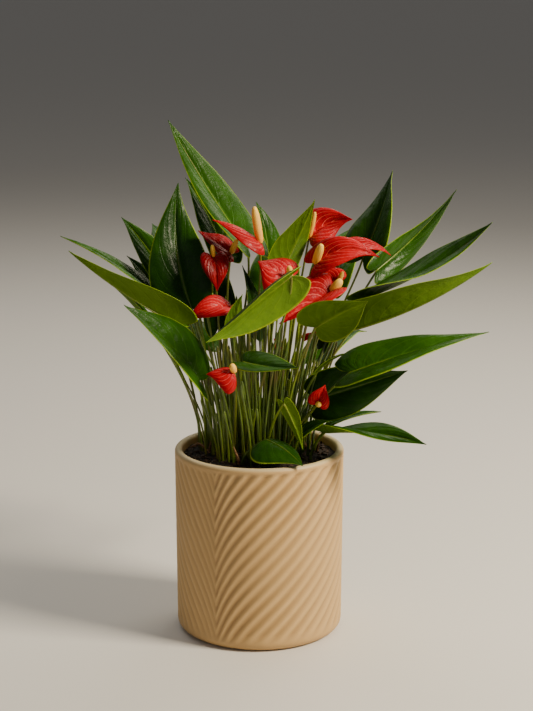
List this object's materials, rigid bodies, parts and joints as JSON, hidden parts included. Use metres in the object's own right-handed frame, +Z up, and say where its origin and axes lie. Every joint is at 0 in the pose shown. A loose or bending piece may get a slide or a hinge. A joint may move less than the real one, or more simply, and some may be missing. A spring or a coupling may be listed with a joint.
{
  "type": "potted anthurium",
  "caption": "Potted flowering plant: heart-shaped leaves on long petioles and red spathes with pale spadices, standing in a round ceramic pot of potting mix.",
  "frame": {"origin": "centre of the pot's flat base, on the surface that it stands on", "axes": "+Z up along the pot's axis, -Y towards the side with the two lowest front leaves, +X to the side with the long spreading leaves"},
  "size_m": [0.352, 0.2614, 0.416],
  "materials": {
    "glazed_pot": "matt beige glaze over diagonal ribs",
    "potting_mix": "rough and crumbly, dark brown",
    "leaf": "waxy gloss, paler veins and margin",
    "spathe": "lacquered gloss, pale veins",
    "spike": "fine bumpy spadix on a smooth green stalk"
  },
  "bodies": {
    "root": {"leaf_back_centre": "leaf", "leaf_back_left": "leaf", "leaf_back_low_left": "leaf", "leaf_back_low_right": "leaf", "leaf_back_middle": "leaf", "leaf_back_right": "leaf", "leaf_behind_left": "leaf", "leaf_bright_right": "leaf", "leaf_broad_left": "leaf", "leaf_curved_left": "leaf", "leaf_dark_right": "leaf", "leaf_front_centre": "leaf", "leaf_front_right": "leaf", "leaf_hanging": "leaf", "leaf_long_right": "leaf", "leaf_low_centre": "leaf", "leaf_low_left": "leaf", "leaf_lower_right": "leaf", "leaf_narrow_left": "leaf", "leaf_outer_left": "leaf", "leaf_peek_left": "leaf", "leaf_peek_right": "leaf", "leaf_rim_front": "leaf", "leaf_rim_right": "leaf", "leaf_slim_right": "leaf", "leaf_small_left": "leaf", "leaf_small_right": "leaf", "leaf_tall_left": "leaf", "leaf_tucked_left": "leaf", "leaf_upper_right": "leaf", "leaf_upright_centre": "leaf", "leaf_young_right": "leaf", "pot": "glazed_pot", "potting_mix": "potting_mix", "spathe_behind_mid": "spathe", "spathe_behind_right": "spathe", "spathe_centre": "spathe", "spathe_dark_left": "spathe", "spathe_hanging_left": "spathe", "spathe_large_right": "spathe", "spathe_low_left": "spathe", "spathe_mid_right": "spathe", "spathe_small_left": "spathe", "spathe_small_right": "spathe", "spathe_top_left": "spathe", "spathe_upper_right": "spathe", "spike_behind_mid": "spike", "spike_behind_right": "spike", "spike_centre": "spike", "spike_dark_left": "spike", "spike_hanging_left": "spike", "spike_large_right": "spike", "spike_low_left": "spike", "spike_mid_right": "spike", "spike_small_left": "spike", "spike_small_right": "spike", "spike_top_left": "spike", "spike_upper_right": "spike"}
  },
  "joints": []
}
